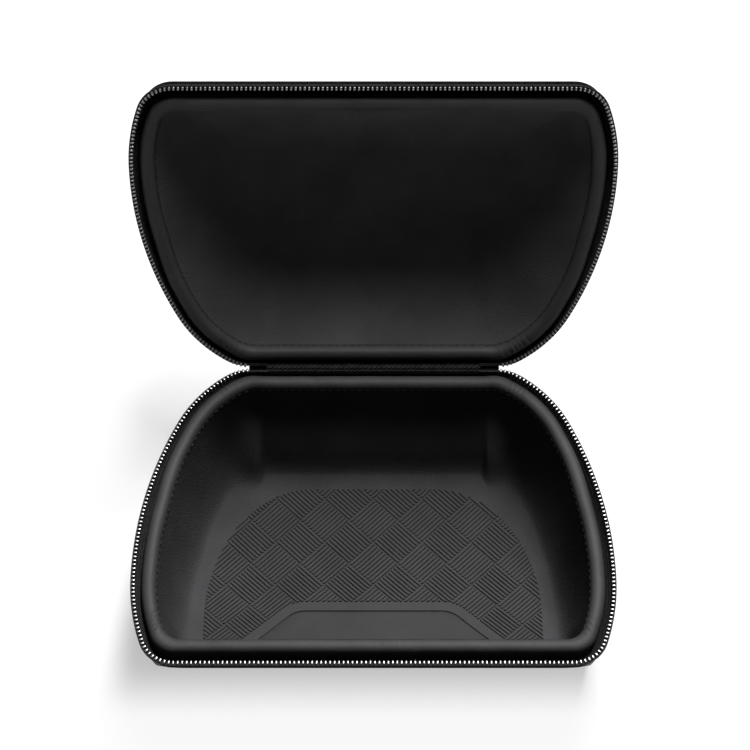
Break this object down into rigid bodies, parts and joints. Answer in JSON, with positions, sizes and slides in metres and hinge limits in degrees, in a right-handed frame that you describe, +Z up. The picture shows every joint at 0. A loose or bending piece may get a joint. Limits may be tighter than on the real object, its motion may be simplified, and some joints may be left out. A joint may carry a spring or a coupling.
{
  "type": "controller carrying case",
  "caption": "Open zip-round moulded carrying case for a game controller: deep D-shaped base, shallow hinged lid, padded rim rolls, toothed zip and an embossed floor.",
  "frame": {"origin": "middle of the flat face that the case stands on", "axes": "+X to the right seen from the front, +Y to the hinge at the back, +Z up"},
  "size_m": [0.1876, 0.1984, 0.1733],
  "materials": {
    "shell_fabric": "matte",
    "roll_pu": "satin",
    "zip_tape": "matte",
    "zip_teeth": "satin",
    "chain_end_tape": "matte",
    "hinge_twill": "matte",
    "slider_metal": "satin",
    "embossed_foam": "matte",
    "smooth_foam": "matte"
  },
  "bodies": {
    "base": {"base_shell": "shell_fabric", "base_rim_roll": "roll_pu", "base_zip_tape": "zip_tape", "base_zip_teeth": "zip_teeth", "floor_mat": "embossed_foam", "front_pad": "smooth_foam", "hinge_strip": "hinge_twill"},
    "lid": {"lid_shell": "shell_fabric", "lid_rim_roll": "roll_pu", "lid_zip_tape": "zip_tape", "lid_zip_teeth": "zip_teeth"},
    "zip_end": {"zip_slider": "slider_metal", "zip_chain_ends": "chain_end_tape"},
    "zip_pull": {"zip_pull": "slider_metal"}
  },
  "joints": [
    {"name": "lid_hinge", "type": "hinge", "parent": "base", "child": "lid", "pos_m": [0, 0.05523, 0.053], "axis": [-1, 0, 0], "range_deg": [-113.5, 0], "deforming": ["hinge_strip"]},
    {"name": "zip_end_swing", "type": "hinge", "parent": "base", "child": "zip_end", "pos_m": [0, 0.05523, 0.053], "axis": [-1, 0, 0], "range_deg": [-56.75, 0]},
    {"name": "pull_swing", "type": "hinge", "parent": "zip_end", "child": "zip_pull", "pos_m": [-0.0463, 0.05888, 0.04744], "axis": [0, 0.8363, 0.5483], "range_deg": [-75, 75]}
  ],
  "couplings": [
    {"joint": "zip_end_swing", "follows": "lid_hinge", "ratio": 0.5}
  ]
}
